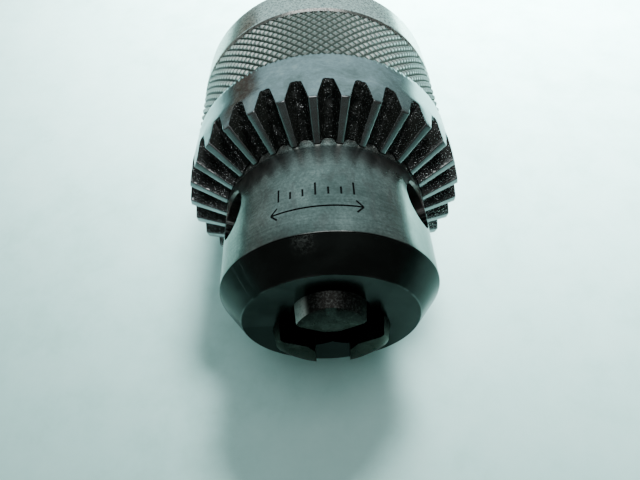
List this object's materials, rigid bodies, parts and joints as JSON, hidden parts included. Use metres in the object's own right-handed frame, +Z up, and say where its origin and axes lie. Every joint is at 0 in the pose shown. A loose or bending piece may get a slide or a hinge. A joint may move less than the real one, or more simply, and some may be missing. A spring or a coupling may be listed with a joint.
{
  "type": "keyed drill chuck",
  "caption": "Geared key-type drill chuck: turning the toothed, knurled sleeve moves the gripping jaws along inclined bores to hold a drill shank.",
  "frame": {"origin": "centre of the spindle socket's mouth, on the chuck's axis at its rear face", "axes": "+Y along the chuck's axis from the nose to the rear, +Z up with one jaw straight up, +X to the right seen from the nose"},
  "size_m": [0.0504, 0.0681, 0.0504],
  "materials": {
    "body_steel": "turned steel, worn, stained near the teeth",
    "sleeve_steel": "satin steel with a diamond knurl and greased teeth",
    "jaw_steel": "ground hardened steel, oily",
    "nut_steel": "hardened steel, greased",
    "race_steel": "ground bearing steel",
    "ball_steel": "polished bearing steel",
    "cage_brass": "pressed brass"
  },
  "bodies": {
    "chuck_body": {"body": "body_steel", "rear_race": "race_steel"},
    "sleeve": {"sleeve": "sleeve_steel", "nut_half_1": "nut_steel", "nut_half_2": "nut_steel", "front_race": "race_steel"},
    "jaw_1": {"jaw_1": "jaw_steel"},
    "jaw_2": {"jaw_2": "jaw_steel"},
    "jaw_3": {"jaw_3": "jaw_steel"},
    "ball_set": {"cage": "cage_brass", "ball_1": "ball_steel", "ball_2": "ball_steel", "ball_3": "ball_steel", "ball_4": "ball_steel", "ball_5": "ball_steel", "ball_6": "ball_steel", "ball_7": "ball_steel", "ball_8": "ball_steel", "ball_9": "ball_steel", "ball_10": "ball_steel", "ball_11": "ball_steel", "ball_12": "ball_steel", "ball_13": "ball_steel", "ball_14": "ball_steel", "ball_15": "ball_steel", "ball_16": "ball_steel", "ball_17": "ball_steel", "ball_18": "ball_steel", "ball_19": "ball_steel", "ball_20": "ball_steel", "ball_21": "ball_steel", "ball_22": "ball_steel", "ball_23": "ball_steel", "ball_24": "ball_steel"}
  },
  "joints": [
    {"name": "sleeve_turn", "type": "hinge", "parent": "chuck_body", "child": "sleeve", "pos_m": [0, 0, 0], "axis": [0, 1, 0], "range_deg": [-1710, 2050]},
    {"name": "jaw_1_slide", "type": "slide", "parent": "chuck_body", "child": "jaw_1", "axis": [0, -0.9681, -0.2504], "range_m": [-0.01, 0.012]},
    {"name": "jaw_2_slide", "type": "slide", "parent": "chuck_body", "child": "jaw_2", "axis": [0.2168, -0.9681, 0.1252], "range_m": [-0.01, 0.012]},
    {"name": "jaw_3_slide", "type": "slide", "parent": "chuck_body", "child": "jaw_3", "axis": [-0.2168, -0.9681, 0.1252], "range_m": [-0.01, 0.012]},
    {"name": "ball_orbit", "type": "hinge", "parent": "chuck_body", "child": "ball_set", "pos_m": [0, 0, 0], "axis": [0, 1, 0], "range_deg": [-860, 1030]}
  ],
  "couplings": [
    {"joint": "jaw_1_slide", "follows": "sleeve_turn", "m_per_rad": 0.00033423},
    {"joint": "jaw_2_slide", "follows": "sleeve_turn", "m_per_rad": 0.00033423},
    {"joint": "jaw_3_slide", "follows": "sleeve_turn", "m_per_rad": 0.00033423},
    {"joint": "ball_orbit", "follows": "sleeve_turn", "ratio": 0.5}
  ]
}
